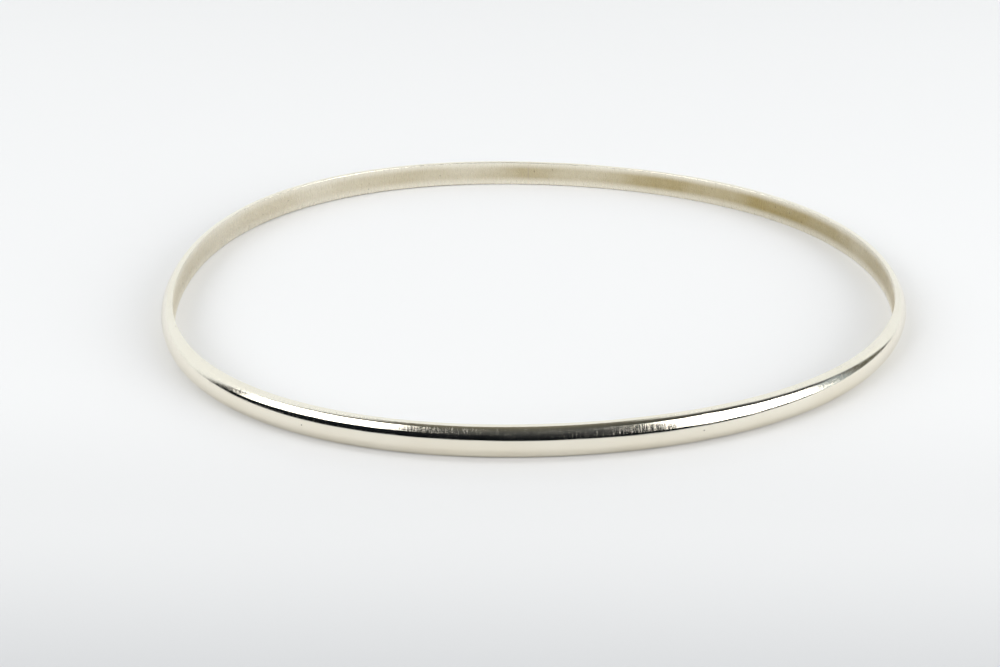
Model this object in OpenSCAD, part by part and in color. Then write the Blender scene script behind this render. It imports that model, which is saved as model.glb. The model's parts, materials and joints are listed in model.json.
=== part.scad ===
// Plain closed bangle bracelet, made from half-round silver wire.
//
// The wire is bent round until its ends meet, and the butt joint is closed with
// hard solder.  Its flat back is the inner wall, its two narrow side faces are
// flat, and its outer face is a low dome.  The bangle lies flat: +Z is the axis
// of the ring, and the origin is the centre of the ring on the surface below.

/* [Band] */
// Inside diameter, the size a bangle is sold by
inner_d = 65; // [55:0.5:75]
// Width of the wire, which is the height of the bangle as it lies flat
band_w = 2.5; // [2.2:0.1:3.2]
// Thickness of the wire from its flat back to the top of its dome
band_t = 1.05; // [0.9:0.05:1.2]
// Radial width of each flat side face, below the dome
side_t = 0.45; // [0.35:0.05:0.6]
// Radius of the two edges against the wrist
edge_r = 0.1; // [0.05:0.01:0.15]

/* [Solder seam] */
// Width of the seam, measured along the inner wall
seam_w = 0.15; // [0.1:0.05:0.3]
// Direction of the seam, in degrees round from +X
seam_az = 90; // [0:5:355]

/* [Hidden] */

inner_r = inner_d / 2;
outer_r = inner_r + band_t;

// The dome is one arc: its rise over the side faces and its chord give its radius.
dome_rise = band_t - side_t;
dome_r = (pow(band_w / 2, 2) + pow(dome_rise, 2)) / (2 * dome_rise);

seam_angle = seam_w / inner_r * 180 / PI;

ring_fn = 360;
arc_fn = 96;

// Flat back and side faces of the wire, with the two edges against the wrist rounded.
module section_bar() {
    translate([inner_r + edge_r, 0])
        square([side_t - edge_r, band_w]);
    translate([inner_r, edge_r])
        square([side_t, band_w - 2 * edge_r]);
    for (z = [edge_r, band_w - edge_r])
        translate([inner_r + edge_r, z])
            circle(r = edge_r, $fn = arc_fn);
}

// Domed outer face of the wire, cut off square at the side faces.
module section_dome() {
    intersection() {
        translate([outer_r - dome_r, band_w / 2])
            circle(r = dome_r, $fn = arc_fn);
        translate([inner_r + edge_r, 0])
            square([band_t - edge_r, band_w]);
    }
}

// A stretch of the wire, bent round the axis and centred on the direction az.
module wire_arc(az, angle) {
    rotate([0, 0, az - angle / 2])
        rotate_extrude(angle = angle, $fn = ring_fn)
            union() {
                section_bar();
                section_dome();
            }
}

// Half-round wire, bent round to leave only the gap that the solder fills.
module band() {
    color("silver")
        wire_arc(seam_az + 180, 360 - seam_angle);
}

// Hard solder that closes the butt joint, filed and polished flush with the wire.
module solder_seam() {
    color("lightgray")
        wire_arc(seam_az, seam_angle);
}

band();
solder_seam();
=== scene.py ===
"""Looks of a plain closed bangle of half-round silver wire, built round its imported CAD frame.

The wire and its solder seam are swept in mesh code along the ring that a hand-bent bangle
really follows, and get procedural silver. Everything is in metres, in the frame of the CAD.
"""

import json
import math

import bpy
import numpy as np
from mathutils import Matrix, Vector


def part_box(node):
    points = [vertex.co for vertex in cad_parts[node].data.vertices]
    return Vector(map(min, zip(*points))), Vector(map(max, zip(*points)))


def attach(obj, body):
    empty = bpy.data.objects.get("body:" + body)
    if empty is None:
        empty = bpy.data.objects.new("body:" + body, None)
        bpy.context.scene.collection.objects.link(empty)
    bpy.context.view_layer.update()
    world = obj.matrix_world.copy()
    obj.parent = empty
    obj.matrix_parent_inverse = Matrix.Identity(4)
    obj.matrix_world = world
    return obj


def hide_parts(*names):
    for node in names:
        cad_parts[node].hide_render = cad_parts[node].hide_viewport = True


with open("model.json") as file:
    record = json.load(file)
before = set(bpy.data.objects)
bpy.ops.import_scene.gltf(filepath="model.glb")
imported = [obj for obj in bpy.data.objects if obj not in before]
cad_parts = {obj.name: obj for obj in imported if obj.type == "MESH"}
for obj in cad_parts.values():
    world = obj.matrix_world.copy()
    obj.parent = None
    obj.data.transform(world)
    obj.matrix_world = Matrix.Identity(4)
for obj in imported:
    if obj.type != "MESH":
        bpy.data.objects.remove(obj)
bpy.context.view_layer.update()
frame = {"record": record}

MM = 0.001

# ---------------------------------------------------------------- sizes, from the frame

band_low, band_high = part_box("band")
seam_low, seam_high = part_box("solder_seam")
bore = next(m["dims"] for m in frame["record"]["mounts"] if m["name"] == "wrist_bore")

INNER_R = bore["r_mm"] * MM
OUTER_R = band_high.x
WIDTH = band_high.z - band_low.z
THICKNESS = OUTER_R - INNER_R
EDGE_R = (WIDTH - bore["length_mm"] * MM) / 2
SEAM_AZ = math.atan2(seam_low.y + seam_high.y, seam_low.x + seam_high.x)
SEAM_HALF = math.asin((seam_high.x - seam_low.x) / 2 / OUTER_R)

# The flat side face takes this share of the wire's thickness, and the dome the rest.
SIDE_SHARE = 0.43
# The crease between side face and dome, as polishing leaves it.
CREASE_R = 0.05 * MM

# How far bending by hand left the ring out of round, as shares of its radius.
THREE_LOBES = 0.0175
FOUR_LOBES = -0.0117
# The ring touches down at two opposite places, and between them it stands off this much.
LIFT = 0.06 * MM
TOUCH_AZ = math.radians(225)
# The dome was filed a little more above mid-width than below, by turns along the ring: its
# middle looks up by this angle, give or take the swing, and its flanks keep their slope.
DOME_TILT = math.radians(2.5)
TILT_SWING = math.radians(3.8)
TILT_TURNS = 5
LEAST_TILT_AZ = math.radians(260)
# The tilt reaches over this share of the width.
TILTED_SHARE = 0.82

# Waves and dents that filing and wear left in the surface.
FINISH_SEED = 5
WAVE_COUNT = 14
WAVE_HEIGHT = 0.0012 * MM
WAVE_LENGTHS_MM = (3, 16)
SHORTEST_WAVE_ACROSS = 3 * MM
DENT_COUNT = 60
DENT_DEPTH = 0.002 * MM
DENT_SIZES_MM = (0.15, 0.45)
# They fade out within these distances of the seam and of the middle of the flat back.
FADE_AT_SEAM = 2 * MM
FADE_AT_BACK = 0.5 * MM
# How far the middle of the solder lies below the wire.
SEAM_SINK = 0.008 * MM

# Stations along the band and along the seam, and steps on each stretch of the section.
STATIONS = 1600
SEAM_STATIONS = 10
FACE_STEPS = 3
EDGE_STEPS = 5
CREASE_STEPS = 3
DOME_STEPS = 13


# ---------------------------------------------------------------- section of the wire

def arc(cu, cv, r, start, end, steps):
    """Points (u, v) and their normals along an arc, without its last point."""
    angles = np.radians(start + (end - start) * np.arange(steps) / steps)
    normals = np.stack([np.cos(angles), np.sin(angles)], 1)
    return np.array([cu, cv]) + r * normals, normals


def line(start, end, steps):
    """Points along a straight face and its normal, without the last point."""
    start, end = np.array(start), np.array(end)
    share = (np.arange(steps) / steps)[:, None]
    direction = (end - start) / np.linalg.norm(end - start)
    normal = np.array([-direction[1], direction[0]])
    return start + share * (end - start), np.repeat(normal[None], steps, 0)


def wire_section():
    """Outline of the D section: u outward from the flat back, v up from mid-width."""
    half = WIDTH / 2
    side = THICKNESS * SIDE_SHARE
    rise = THICKNESS - side
    dome_r = (half ** 2 + rise ** 2) / (2 * rise)
    dome_u = THICKNESS - dome_r
    # A small arc inside the corner touches both the side face and the dome.
    crease_u = dome_u + math.sqrt((dome_r - CREASE_R) ** 2 - (half - CREASE_R) ** 2)
    crease_at = math.degrees(math.atan2(half - CREASE_R, crease_u - dome_u))
    top = [
        line((0, 0), (0, half - EDGE_R), FACE_STEPS),
        arc(EDGE_R, half - EDGE_R, EDGE_R, 180, 90, EDGE_STEPS),
        line((EDGE_R, half), (crease_u, half), FACE_STEPS),
        arc(crease_u, half - CREASE_R, CREASE_R, 90, crease_at, CREASE_STEPS),
        arc(dome_u, 0, dome_r, crease_at, 0, DOME_STEPS),
    ]
    points = np.concatenate([p for p, _ in top])
    normals = np.concatenate([n for _, n in top])
    # The lower half mirrors the upper one; the middles of back and dome are shared.
    middle = np.array([[THICKNESS, 0.0]]), np.array([[1.0, 0.0]])
    mirror = np.array([1, -1])
    points = np.concatenate([points, middle[0], points[:0:-1] * mirror])
    normals = np.concatenate([normals, middle[1], normals[:0:-1] * mirror])
    return points, normals


# ---------------------------------------------------------------- ring as it was bent

def ring_path(az):
    """Foot of the inner wall, its outward normal and its tangent, at directions az."""
    swell = 1 + THREE_LOBES * np.cos(3 * az) + FOUR_LOBES * np.cos(4 * az)
    slope = -3 * THREE_LOBES * np.sin(3 * az) - 4 * FOUR_LOBES * np.sin(4 * az)
    cos, sin, zero = np.cos(az), np.sin(az), np.zeros_like(az)
    stand_off = LIFT * (1 - np.cos(2 * (az - TOUCH_AZ))) / 2
    place = np.stack([INNER_R * swell * cos, INNER_R * swell * sin, stand_off], 1)
    tangent = np.stack([slope * cos - swell * sin, slope * sin + swell * cos, zero], 1)
    tangent /= np.linalg.norm(tangent, axis=1)[:, None]
    normal = np.stack([tangent[:, 1], -tangent[:, 0], zero], 1)
    return place, normal, tangent


def tilt_dome(section, normals, az):
    """Section points and normals at every direction az, with the dome filed unevenly."""
    u, v = section[None, :, 0], section[None, :, 1]
    nu, nv = normals[None, :, 0], normals[None, :, 1]
    swing = TILT_SWING * np.cos(TILT_TURNS * (az - LEAST_TILT_AZ))
    slope = np.tan(DOME_TILT - swing)[:, None]
    # The tilt is full at mid-width and fades to nothing at the ends of its reach.
    reach = TILTED_SHARE * WIDTH / 2
    turn = np.clip(v / reach, -1, 1) * math.pi
    shift = -slope * (turn + np.sin(turn)) * reach / math.tau
    # The shift grows from nothing at the flat back to its full size at the crease.
    side = THICKNESS * SIDE_SHARE
    share = np.clip(u / side, 0, 1)
    growth = np.where((u > 0) & (u < side), 1 / side, 0.0)
    tilted_u = u + shift * share
    tilted_nv = nv * (1 + shift * growth) + slope * (1 + np.cos(turn)) / 2 * share * nu
    shape = tilted_u.shape
    return tilted_u, np.broadcast_to(v, shape), np.broadcast_to(nu, shape), tilted_nv


def hand_finish(along, around):
    """Height of the surface over the true section, at distances along and around the wire."""
    rng = np.random.default_rng(FINISH_SEED)
    s, w = along[:, None], around[None, :]
    height = np.zeros((len(along), len(around)))
    for _ in range(WAVE_COUNT):
        length = rng.uniform(*WAVE_LENGTHS_MM) * MM
        across = rng.uniform(-1, 1) / SHORTEST_WAVE_ACROSS
        phase = rng.uniform(0, math.tau)
        share = rng.uniform(0.3, 1) * WAVE_HEIGHT
        height += share * np.sin(math.tau * (s / length + w * across) + phase)
    for _ in range(DENT_COUNT):
        at_s = rng.uniform(0, along[-1])
        at_w = rng.uniform(0, around[-1])
        size = rng.uniform(*DENT_SIZES_MM) * MM
        depth = rng.uniform(0.2, 1) * DENT_DEPTH
        height -= depth * np.exp(-((s - at_s) ** 2 + (w - at_w) ** 2) / size ** 2)
    height *= np.clip(np.minimum(s, along[-1] - s) / FADE_AT_SEAM, 0, 1)
    return height * np.clip(np.minimum(w, around[-1] - w) / FADE_AT_BACK, 0, 1)


def seam_finish(along, around):
    """The solder lies a little lower in its middle than the wire on both sides."""
    dip = np.sin(math.pi * along / along[-1])
    return -SEAM_SINK * np.repeat(dip[:, None], len(around), 1)


# ---------------------------------------------------------------- mesh of a swept stretch

def sweep_grid(start, end, stations, finish):
    """Points and normals [station, point, xyz], tangents, and distances along and around."""
    section, section_normals = wire_section()
    az = np.linspace(start, end, stations)
    place, out, tangent = ring_path(az)
    loop = np.concatenate([section, section[:1]])
    around = np.concatenate([[0], np.cumsum(np.linalg.norm(np.diff(loop, axis=0), axis=1))])
    steps = np.linalg.norm(np.diff(place, axis=0), axis=1)
    along = np.concatenate([[0], np.cumsum(steps)])
    up = np.array([0.0, 0.0, 1.0])
    u, v, nu, nv = (a[..., None] for a in tilt_dome(section, section_normals, az))
    points = place[:, None] + out[:, None] * u + up * (v + WIDTH / 2)
    normals = out[:, None] * nu + up * nv
    normals /= np.linalg.norm(normals, axis=2)[..., None]
    height = finish(along, around[:-1])
    slope_s = np.gradient(height, along, axis=0)[..., None]
    slope_w = np.gradient(height, around[:-1], axis=1)[..., None]
    across = np.cross(tangent[:, None], normals)
    points = points + normals * height[..., None]
    # The wire is worn flat where its tilted dome or a wave would dip below the table.
    points[..., 2] = np.maximum(points[..., 2], 0)
    normals = normals - slope_s * tangent[:, None] + slope_w * across
    normals /= np.linalg.norm(normals, axis=2)[..., None]
    return points, normals, tangent, along, around


def wire_uv(along, around):
    """Distance along and around the wire at each quad's corners, in millimetres."""
    s, w = np.meshgrid(along, around, indexing="ij")
    rows, columns = len(along) - 1, len(around) - 1
    corners = [(0, 0), (0, 1), (1, 1), (1, 0)]
    uv = [np.stack([a[i:i + rows, j:j + columns] for a in (s, w)], 2) for i, j in corners]
    return np.stack(uv, 2).reshape(-1, 2) / MM


def swept_piece(name, start, end, stations, finish):
    """A closed solid of wire between two directions, with a UV map in millimetres."""
    points, normals, tangent, along, around = sweep_grid(start, end, stations, finish)
    count = points.shape[1]
    index = np.arange(stations * count).reshape(stations, count)
    nxt = np.roll(index, -1, axis=1)
    quads = np.stack([index[:-1], nxt[:-1], nxt[1:], index[1:]], 2).reshape(-1, 4)
    caps = [index[0, ::-1].tolist(), index[-1].tolist()]

    mesh = bpy.data.meshes.new(name)
    mesh.from_pydata(points.reshape(-1, 3).tolist(), [], quads.tolist() + caps)
    mesh.polygons.foreach_set("use_smooth", [True] * len(mesh.polygons))

    flat = normals.reshape(-1, 3)
    loops = flat[quads.ravel()].tolist()
    loops += [(-tangent[0]).tolist()] * count + [tangent[-1].tolist()] * count
    mesh.normals_split_custom_set(loops)

    cap_uv = np.zeros((2 * count, 2))
    uv = np.concatenate([wire_uv(along, around), cap_uv])
    mesh.uv_layers.new(name="Wire").data.foreach_set("uv", uv.ravel())

    piece = bpy.data.objects.new(name, mesh)
    bpy.context.scene.collection.objects.link(piece)
    return piece


# ---------------------------------------------------------------- shader nodes

def new_material(name):
    material = bpy.data.materials.new(name)
    material.use_nodes = True
    tree = material.node_tree
    return material, tree, tree.nodes["Principled BSDF"]


def node(tree, kind, inputs=None, **settings):
    """Adds a shader node; inputs maps a socket's name or number to a value or to a socket."""
    made = tree.nodes.new(kind)
    for key, value in settings.items():
        setattr(made, key, value)
    for key, value in (inputs or {}).items():
        if isinstance(value, bpy.types.NodeSocket):
            tree.links.new(value, made.inputs[key])
        else:
            made.inputs[key].default_value = value
    return made


def maths(tree, operation, a, b=0.0, c=0.0):
    return node(tree, "ShaderNodeMath", {0: a, 1: b, 2: c}, operation=operation).outputs[0]


def product(tree, a, b):
    return maths(tree, "MULTIPLY", a, b)


def along_axis(tree, vector, axis):
    """The x, y or z of a vector, for axis 0, 1 or 2."""
    return node(tree, "ShaderNodeSeparateXYZ", {0: vector}).outputs[axis]


def ramp(tree, value, low, high, to_low=0.0, to_high=1.0):
    """Moves value smoothly from to_low at low to to_high at high."""
    inputs = {"Value": value, "From Min": low, "From Max": high, "To Min": to_low, "To Max": to_high}
    made = node(tree, "ShaderNodeMapRange", inputs, interpolation_type="SMOOTHSTEP")
    return made.outputs["Result"]


def mix(tree, share, a, b):
    """Colour a, turning to colour b as share goes from 0 to 1."""
    made = node(tree, "ShaderNodeMix", data_type="RGBA")
    for socket, value in ((made.inputs[0], share), (made.inputs[6], a), (made.inputs[7], b)):
        if isinstance(value, bpy.types.NodeSocket):
            tree.links.new(value, socket)
        else:
            socket.default_value = value
    return made.outputs[2]


def clouds(tree, place, per_metre, detail):
    """Noise in space, with this many features per metre."""
    inputs = {"Vector": place, "Scale": per_metre, "Detail": detail}
    return node(tree, "ShaderNodeTexNoise", inputs).outputs["Fac"]


def wire_noise(tree, wire, per_mm, detail=3.0, offset=0.0):
    """Noise with its own number of features per millimetre along and around the wire."""
    moved = {"Vector": wire, "Location": (offset, offset, 0), "Scale": (*per_mm, 1)}
    place = node(tree, "ShaderNodeMapping", moved).outputs[0]
    inputs = {"Vector": place, "Scale": 1.0, "Detail": detail}
    return node(tree, "ShaderNodeTexNoise", inputs, noise_dimensions="2D").outputs["Fac"]


# ---------------------------------------------------------------- silver

# Colours of each metal: where it is bright, where it is dull, and where it is tarnished.
SILVER_COLOURS = ((0.895, 0.850, 0.735, 1), (0.860, 0.805, 0.675, 1), (0.40, 0.31, 0.125, 1))
SOLDER_COLOURS = ((0.90, 0.83, 0.70, 1), (0.84, 0.76, 0.61, 1), (0.34, 0.27, 0.15, 1))
# Painted shade: the dark colour that the pits are painted with, for the shade in their hollows.
PIT_SHADE_COLOUR = (0.05, 0.045, 0.035, 1)
# The dullest places go this far towards the dull colour, and the pits this far towards their painted
# shade.
DULLEST = 0.6
DARKEST_PIT_SHADE = 0.85
# Dull clouds and tarnished patches per metre, and between which noise values they set in.
DULL_PER_METRE = 160.0
DULL_RISE = (0.35, 0.7)
PATCHES_PER_METRE = 75.0
PATCHES_RISE = (0.32, 0.66)

# Marks in the polish, in features per millimetre along and around the wire. The offsets
# keep one kind of mark from following another.
CROSS_LINES = (10.0, 0.9)
SCRATCHES = (14.0, 2.0)
SCRATCHES_OFFSET = 57.0
HAIRLINES = (0.22, 16.0)
HAIRLINES_OFFSET = 31.0
# Between these noise values a mark goes from nothing to its full strength.
CROSS_LINES_RISE = (0.42, 0.72)
SCRATCHES_RISE = (0.52, 0.74)
HAIRLINES_RISE = (0.60, 0.74)
# Roughness of the bare polish, and what the marks and the flat back add to it.
POLISH_ROUGH = 0.072
LINES_ROUGH = 0.085
HAIRS_ROUGH = 0.05
SCRATCHES_ROUGH = 0.07
BACK_ROUGH = 0.16
# Height of the crosswise lines, and the depth of hairlines and pits as multiples of it.
RELIEF = 0.0009 * MM
HAIR_DEPTH = 0.5
PIT_DEPTH = 6.0
# Pits sit in square cells, so many per millimetre, and only in this share of them. Their
# edge lies between the two radii, in cells.
PIT_CELLS = 0.5
PITTED_SHARE = 0.2
PIT_RADII = (0.018, 0.030)

# Tarnish is left in a stripe round the flat back: its middle height, the half height of its
# dark core, and where it has faded away.
STRIPE_AT = 1.35 * MM
STRIPE_HALF = 0.35 * MM
STRIPE_END = 1.15 * MM
# Painted light: the left of the ring is painted brighter, standing in for glints and bright reflections
# there, so its far left has this share of the tarnish that the ring has from this place along x
# onwards. The palest patches have this share of it.
LEFT_TARNISH_IN_PAINTED_LIGHT = 0.32
TARNISHED_FROM = 0.6 * INNER_R
PALEST_PATCH = 0.5
# The flat back is told from the rest by how straight its surface faces outward: -1 is
# straight at the axis of the ring. The first value is wholly flat back, the second not at all.
FACING_INWARD = (-0.9, -0.3)


def unpolished_stripe(tree, place):
    """1 along the middle of the flat back, which the polishing cloth reaches least."""
    off = maths(tree, "ABSOLUTE", maths(tree, "SUBTRACT", along_axis(tree, place, 2), STRIPE_AT))
    return ramp(tree, off, STRIPE_HALF, STRIPE_END, 1.0, 0.0)


def inner_wall_mask(tree, place):
    """1 on the flat back of the wire, which faces the axis of the ring, and 0 elsewhere."""
    normal = node(tree, "ShaderNodeNewGeometry").outputs["Normal"]
    level = node(tree, "ShaderNodeVectorMath", {0: place, 1: (1, 1, 0)}, operation="MULTIPLY")
    out = node(tree, "ShaderNodeVectorMath", {0: level.outputs[0]}, operation="NORMALIZE")
    facing = node(tree, "ShaderNodeVectorMath", {0: normal, 1: out.outputs[0]}, operation="DOT_PRODUCT")
    return ramp(tree, facing.outputs["Value"], *FACING_INWARD, 1.0, 0.0)


def tarnish_share(tree, place, inside):
    """How much of the colour is tarnish: patches in the stripe on the flat back, fewer on the left as
    painted light.
    """
    # Painted light: less tarnish towards the left makes that side brighter.
    painted_light_left = ramp(tree, along_axis(tree, place, 0), -INNER_R, TARNISHED_FROM, LEFT_TARNISH_IN_PAINTED_LIGHT)
    noise = clouds(tree, place, PATCHES_PER_METRE, detail=5.0)
    patches = ramp(tree, noise, *PATCHES_RISE, PALEST_PATCH)
    aged = product(tree, inside, product(tree, painted_light_left, patches))
    return product(tree, aged, unpolished_stripe(tree, place))


def pit_mask(tree, wire):
    """1 in a few small round pits, and 0 elsewhere."""
    inputs = {"Vector": wire, "Scale": PIT_CELLS, "Randomness": 1.0}
    cells = node(tree, "ShaderNodeTexVoronoi", inputs, voronoi_dimensions="2D")
    spot = ramp(tree, cells.outputs["Distance"], *PIT_RADII, 1.0, 0.0)
    chance = node(tree, "ShaderNodeSeparateColor", {0: cells.outputs["Color"]}).outputs[0]
    return product(tree, spot, maths(tree, "GREATER_THAN", chance, 1 - PITTED_SHARE))


def silver(name, clean, dull, tarnish):
    """Hand-polished silver: lines, hairlines, scratches, pits, and tarnish inside the ring, painted
    lighter on its left and with painted shade in its pits.
    """
    material, tree, shader = new_material(name)
    wire = node(tree, "ShaderNodeUVMap", uv_map="Wire").outputs[0]
    place = node(tree, "ShaderNodeTexCoord").outputs["Object"]
    inside = inner_wall_mask(tree, place)
    pits = pit_mask(tree, wire)
    crosswise = wire_noise(tree, wire, CROSS_LINES, detail=5.0)
    lines = ramp(tree, crosswise, *CROSS_LINES_RISE)
    scratches = wire_noise(tree, wire, SCRATCHES, offset=SCRATCHES_OFFSET)
    scratches = ramp(tree, scratches, *SCRATCHES_RISE)
    hairs = wire_noise(tree, wire, HAIRLINES, offset=HAIRLINES_OFFSET)
    hairs = ramp(tree, hairs, *HAIRLINES_RISE)

    worn = ramp(tree, clouds(tree, place, DULL_PER_METRE, detail=4.0), *DULL_RISE)
    colour = mix(tree, product(tree, worn, DULLEST), clean, dull)
    colour = mix(tree, tarnish_share(tree, place, inside), colour, tarnish)
    # Painted shade: the pits are darkened in the colour.
    colour = mix(tree, product(tree, pits, DARKEST_PIT_SHADE), colour, PIT_SHADE_COLOUR)
    tree.links.new(colour, shader.inputs["Base Color"])

    rough = maths(tree, "MULTIPLY_ADD", lines, LINES_ROUGH, POLISH_ROUGH)
    rough = maths(tree, "MULTIPLY_ADD", hairs, HAIRS_ROUGH, rough)
    rough = maths(tree, "MULTIPLY_ADD", scratches, SCRATCHES_ROUGH, rough)
    rough = maths(tree, "MULTIPLY_ADD", inside, BACK_ROUGH, rough)
    tree.links.new(rough, shader.inputs["Roughness"])

    height = maths(tree, "MULTIPLY_ADD", hairs, -HAIR_DEPTH, crosswise)
    height = maths(tree, "MULTIPLY_ADD", pits, -PIT_DEPTH, height)
    bump = node(tree, "ShaderNodeBump", {"Height": height, "Strength": 1.0, "Distance": RELIEF})
    tree.links.new(bump.outputs[0], shader.inputs["Normal"])

    shader.inputs["Metallic"].default_value = 1.0
    shader.inputs["Anisotropic"].default_value = 1.0
    tangent = node(tree, "ShaderNodeTangent", direction_type="UV_MAP", uv_map="Wire")
    tree.links.new(tangent.outputs[0], shader.inputs["Tangent"])
    return material


# ---------------------------------------------------------------- bangle

def make_bangle():
    """The wire and its seam, each standing for its CAD node."""
    band = swept_piece("silver_band", SEAM_AZ + SEAM_HALF, SEAM_AZ + math.tau - SEAM_HALF,
                       STATIONS, hand_finish)
    seam = swept_piece("solder_joint", SEAM_AZ - SEAM_HALF, SEAM_AZ + SEAM_HALF,
                       SEAM_STATIONS, seam_finish)
    band.data.materials.append(silver("polished_silver", *SILVER_COLOURS))
    seam.data.materials.append(silver("hard_solder", *SOLDER_COLOURS))
    for piece, cad_node, slot in ((band, "band", "silver"), (seam, "solder_seam", "solder")):
        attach(piece, "root")
        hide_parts(cad_node)


# ---------------------------------------------------------------- studio

# Half the side of the paper, its colours, and the share that its darkest clouds keep.
PAPER_HALF = 3.0
PAPER_COLOUR = (0.865, 0.868, 0.878, 1)
PAPER_IN_SHADE = (0.575, 0.583, 0.60, 1)
PAPER_UNEVEN = 0.985
PAPER_CLOUDS_PER_METRE = 14.0
# The paper dims a little from the first to the second of these distances along y, and then
# darkens from the third to the fourth.
NEAR_START = -0.020
NEAR_END = -0.042
NEAR_DIMMED = 0.925
SHADE_START = -0.042
SHADE_END = -0.072

# The white tent begins where a direction's product with this, plus its two corrections for
# the sides, passes TENT_EDGE; the tent stands further back on the right than on the left.
TENT_SLOPE = (-0.208, 1.0, 0.786)
TENT_BOTH_SIDES = -0.06
TENT_RIGHT_SIDE = 0.242
TENT_EDGE = 0.38
TENT_BLUR = 0.05
# It ends at this height of a direction right behind the ring, and higher at the sides. There
# it fades between two heights, this much below and above.
TENT_TOP = 0.60
TENT_SIDES = 0.72
TENT_TOP_BLUR = (-0.05, 0.07)
TENT_COLOUR = (0.955, 0.985, 0.995, 1)
# Colours of the dark room by the height of a direction, 0 for level and 1 for straight up.
ROOM_COLOURS = [
    (0.00, (0.002, 0.004, 0.005)),
    (0.40, (0.009, 0.010, 0.013)),
    (0.70, (0.052, 0.056, 0.056)),
    (0.87, (0.110, 0.108, 0.090)),
    (0.95, (0.200, 0.190, 0.150)),
    (0.99, (0.280, 0.260, 0.200)),
]
BLUE_GREY = (0.72, 0.88, 1.0)
OLIVE = (1.0, 0.88, 0.55)

# The camera looks down from the near side, at a point left of the ring's centre and nearer.
CAMERA_DISTANCE = 0.150
CAMERA_ELEVATION = math.radians(21.76)
CAMERA_AIM = Vector((-2.35 * MM, -9.46 * MM, 0.0))
SENSOR_WIDTH_MM = 36.0
LENS_MM = 58.8


def dimmed(colour, share):
    """A colour, with each of its three parts at this share."""
    return tuple(share * c for c in colour[:3]) + (1.0,)


def white_paper(name):
    """Smooth white paper, faintly uneven, that falls into shade towards the camera."""
    material, tree, shader = new_material(name)
    place = node(tree, "ShaderNodeTexCoord").outputs["Object"]
    depth = along_axis(tree, place, 1)
    uneven = clouds(tree, place, PAPER_CLOUDS_PER_METRE, detail=3.0)
    colour = mix(tree, uneven, PAPER_COLOUR, dimmed(PAPER_COLOUR, PAPER_UNEVEN))
    near = ramp(tree, depth, NEAR_START, NEAR_END)
    colour = mix(tree, near, colour, dimmed(PAPER_COLOUR, NEAR_DIMMED))
    colour = mix(tree, ramp(tree, depth, SHADE_START, SHADE_END), colour, PAPER_IN_SHADE)
    tree.links.new(colour, shader.inputs["Base Color"])
    shader.inputs["Roughness"].default_value = 0.9
    shader.inputs["Specular IOR Level"].default_value = 0.1
    return material


def make_floor():
    """A large sheet of white paper that the bangle lies on."""
    signs = ((-1, -1), (1, -1), (1, 1), (-1, 1))
    corners = [(x * PAPER_HALF, y * PAPER_HALF, 0) for x, y in signs]
    mesh = bpy.data.meshes.new("floor")
    mesh.from_pydata(corners, [], [(0, 1, 2, 3)])
    floor = bpy.data.objects.new("floor", mesh)
    bpy.context.scene.collection.objects.link(floor)
    floor.data.materials.append(white_paper("white_paper"))


def area_light(name, wide, high, radiance, tint=(1, 1, 1)):
    """A soft rectangular light at the origin that shines straight down."""
    light = bpy.data.lights.new(name, "AREA")
    light.shape = "RECTANGLE"
    light.size = wide
    light.size_y = high
    light.energy = radiance * math.pi * wide * high
    light.color = tint
    lamp = bpy.data.objects.new(name, light)
    bpy.context.scene.collection.objects.link(lamp)
    return lamp


def softbox(name, place, low, wide, high, turn, radiance, tint=(1, 1, 1), roll=0):
    """A soft light standing at place; unturned and unrolled it looks away from the camera."""
    lamp = area_light(name, wide, high, radiance, tint)
    lamp.location = (*place, low + high / 2)
    lamp.rotation_euler = (math.radians(90), math.radians(roll), math.radians(turn))


def overhead_light(name, place, wide, deep, radiance):
    """A soft light that hangs level over the table."""
    lamp = area_light(name, wide, deep, radiance)
    lamp.location = place


def colour_ramp(tree, value, stops):
    """Colours at given values, with even changes between them."""
    made = node(tree, "ShaderNodeValToRGB", {0: value})
    elements = made.color_ramp.elements
    while len(elements) < len(stops):
        elements.new(1.0)
    for element, (at, colour) in zip(elements, stops):
        element.position = at
        element.color = (*colour, 1)
    return made.outputs[0]


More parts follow.
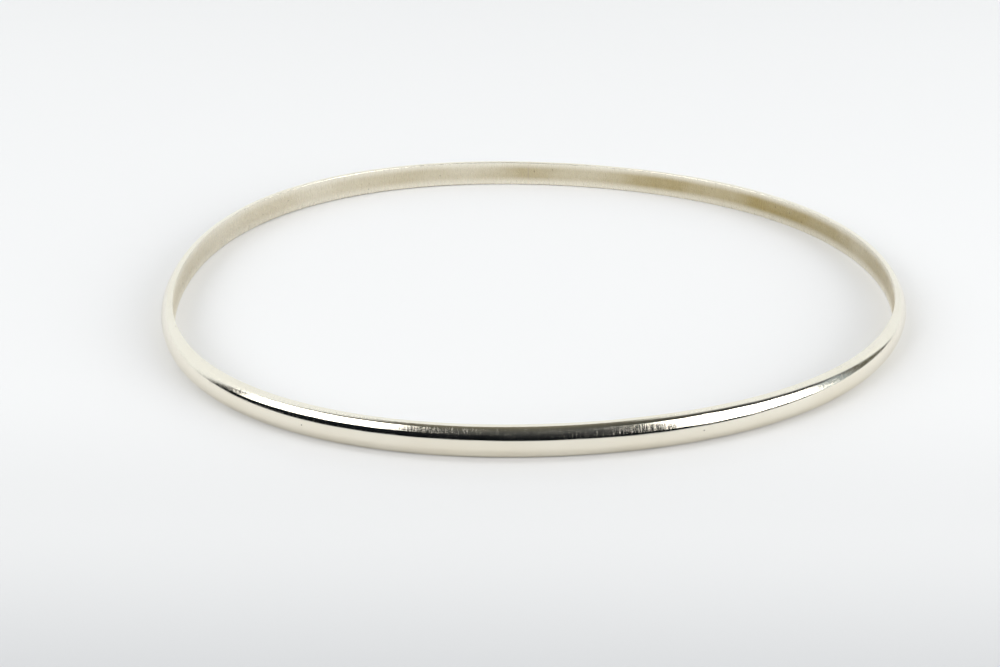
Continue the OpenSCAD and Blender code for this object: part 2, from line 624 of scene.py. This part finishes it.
def tent_mask(tree, view, height):
    """1 in the directions where the white tent stands, and 0 in the dark room."""
    slope = node(tree, "ShaderNodeVectorMath", {0: view, 1: TENT_SLOPE}, operation="DOT_PRODUCT")
    across = along_axis(tree, view, 0)
    aside = maths(tree, "ABSOLUTE", across)
    back = maths(tree, "MULTIPLY_ADD", aside, TENT_BOTH_SIDES, slope.outputs["Value"])
    corner = product(tree, across, height)
    back = maths(tree, "MULTIPLY_ADD", corner, TENT_RIGHT_SIDE, back)
    behind = ramp(tree, back, TENT_EDGE - TENT_BLUR, TENT_EDGE + TENT_BLUR)
    top = maths(tree, "MULTIPLY_ADD", aside, -TENT_SIDES, height)
    top_start, top_end = (TENT_TOP + blur for blur in TENT_TOP_BLUR)
    return product(tree, behind, ramp(tree, top, top_start, top_end, 1.0, 0.0))


def make_room():
    """Dark in front, where the camera stands, under a dim ceiling, with a white tent behind."""
    world = bpy.data.worlds.new("room")
    bpy.context.scene.world = world
    world.use_nodes = True
    tree = world.node_tree
    view = node(tree, "ShaderNodeTexCoord").outputs["Generated"]
    height = along_axis(tree, view, 2)
    room = colour_ramp(tree, height, ROOM_COLOURS)
    colour = mix(tree, tent_mask(tree, view, height), room, TENT_COLOUR)
    tree.links.new(colour, tree.nodes["Background"].inputs["Color"])


def make_camera():
    """Close above the table, looking down at the near side of the ring."""
    data = bpy.data.cameras.new("camera")
    data.sensor_width = SENSOR_WIDTH_MM
    data.lens = LENS_MM
    data.clip_start = 0.01
    data.clip_end = 20.0
    camera = bpy.data.objects.new("camera", data)
    towards = Vector((0, -math.cos(CAMERA_ELEVATION), math.sin(CAMERA_ELEVATION)))
    camera.location = towards * CAMERA_DISTANCE
    camera.rotation_mode = "QUATERNION"
    camera.rotation_quaternion = (CAMERA_AIM - camera.location).to_track_quat("-Z", "Y")
    bpy.context.scene.collection.objects.link(camera)
    bpy.context.scene.camera = camera


def make_studio():
    """A softbox on each side of the camera, a light above, and two dim curtains at the right."""
    make_floor()
    make_room()
    softbox("softbox_left", place=(-0.527, -0.226), low=0.158, wide=0.640, high=0.388,
            turn=-24, roll=-6, radiance=4.3)
    softbox("softbox_right", place=(0.553, -0.205), low=0.050, wide=0.570, high=0.345,
            turn=24, radiance=5.8)
    overhead_light("softbox_above", place=(0, 0.10, 0.63), wide=0.60, deep=0.22, radiance=2.1)
    softbox("grey_curtain", place=(1.000, 0.044), low=0.0, wide=0.25, high=0.45,
            turn=92.5, radiance=0.36, tint=BLUE_GREY)
    softbox("olive_curtain", place=(0.955, 0.330), low=0.0, wide=0.36, high=0.34,
            turn=109, radiance=0.085, tint=OLIVE)
    bpy.context.scene.view_settings.view_transform = "Standard"


make_camera()
make_bangle()
make_studio()
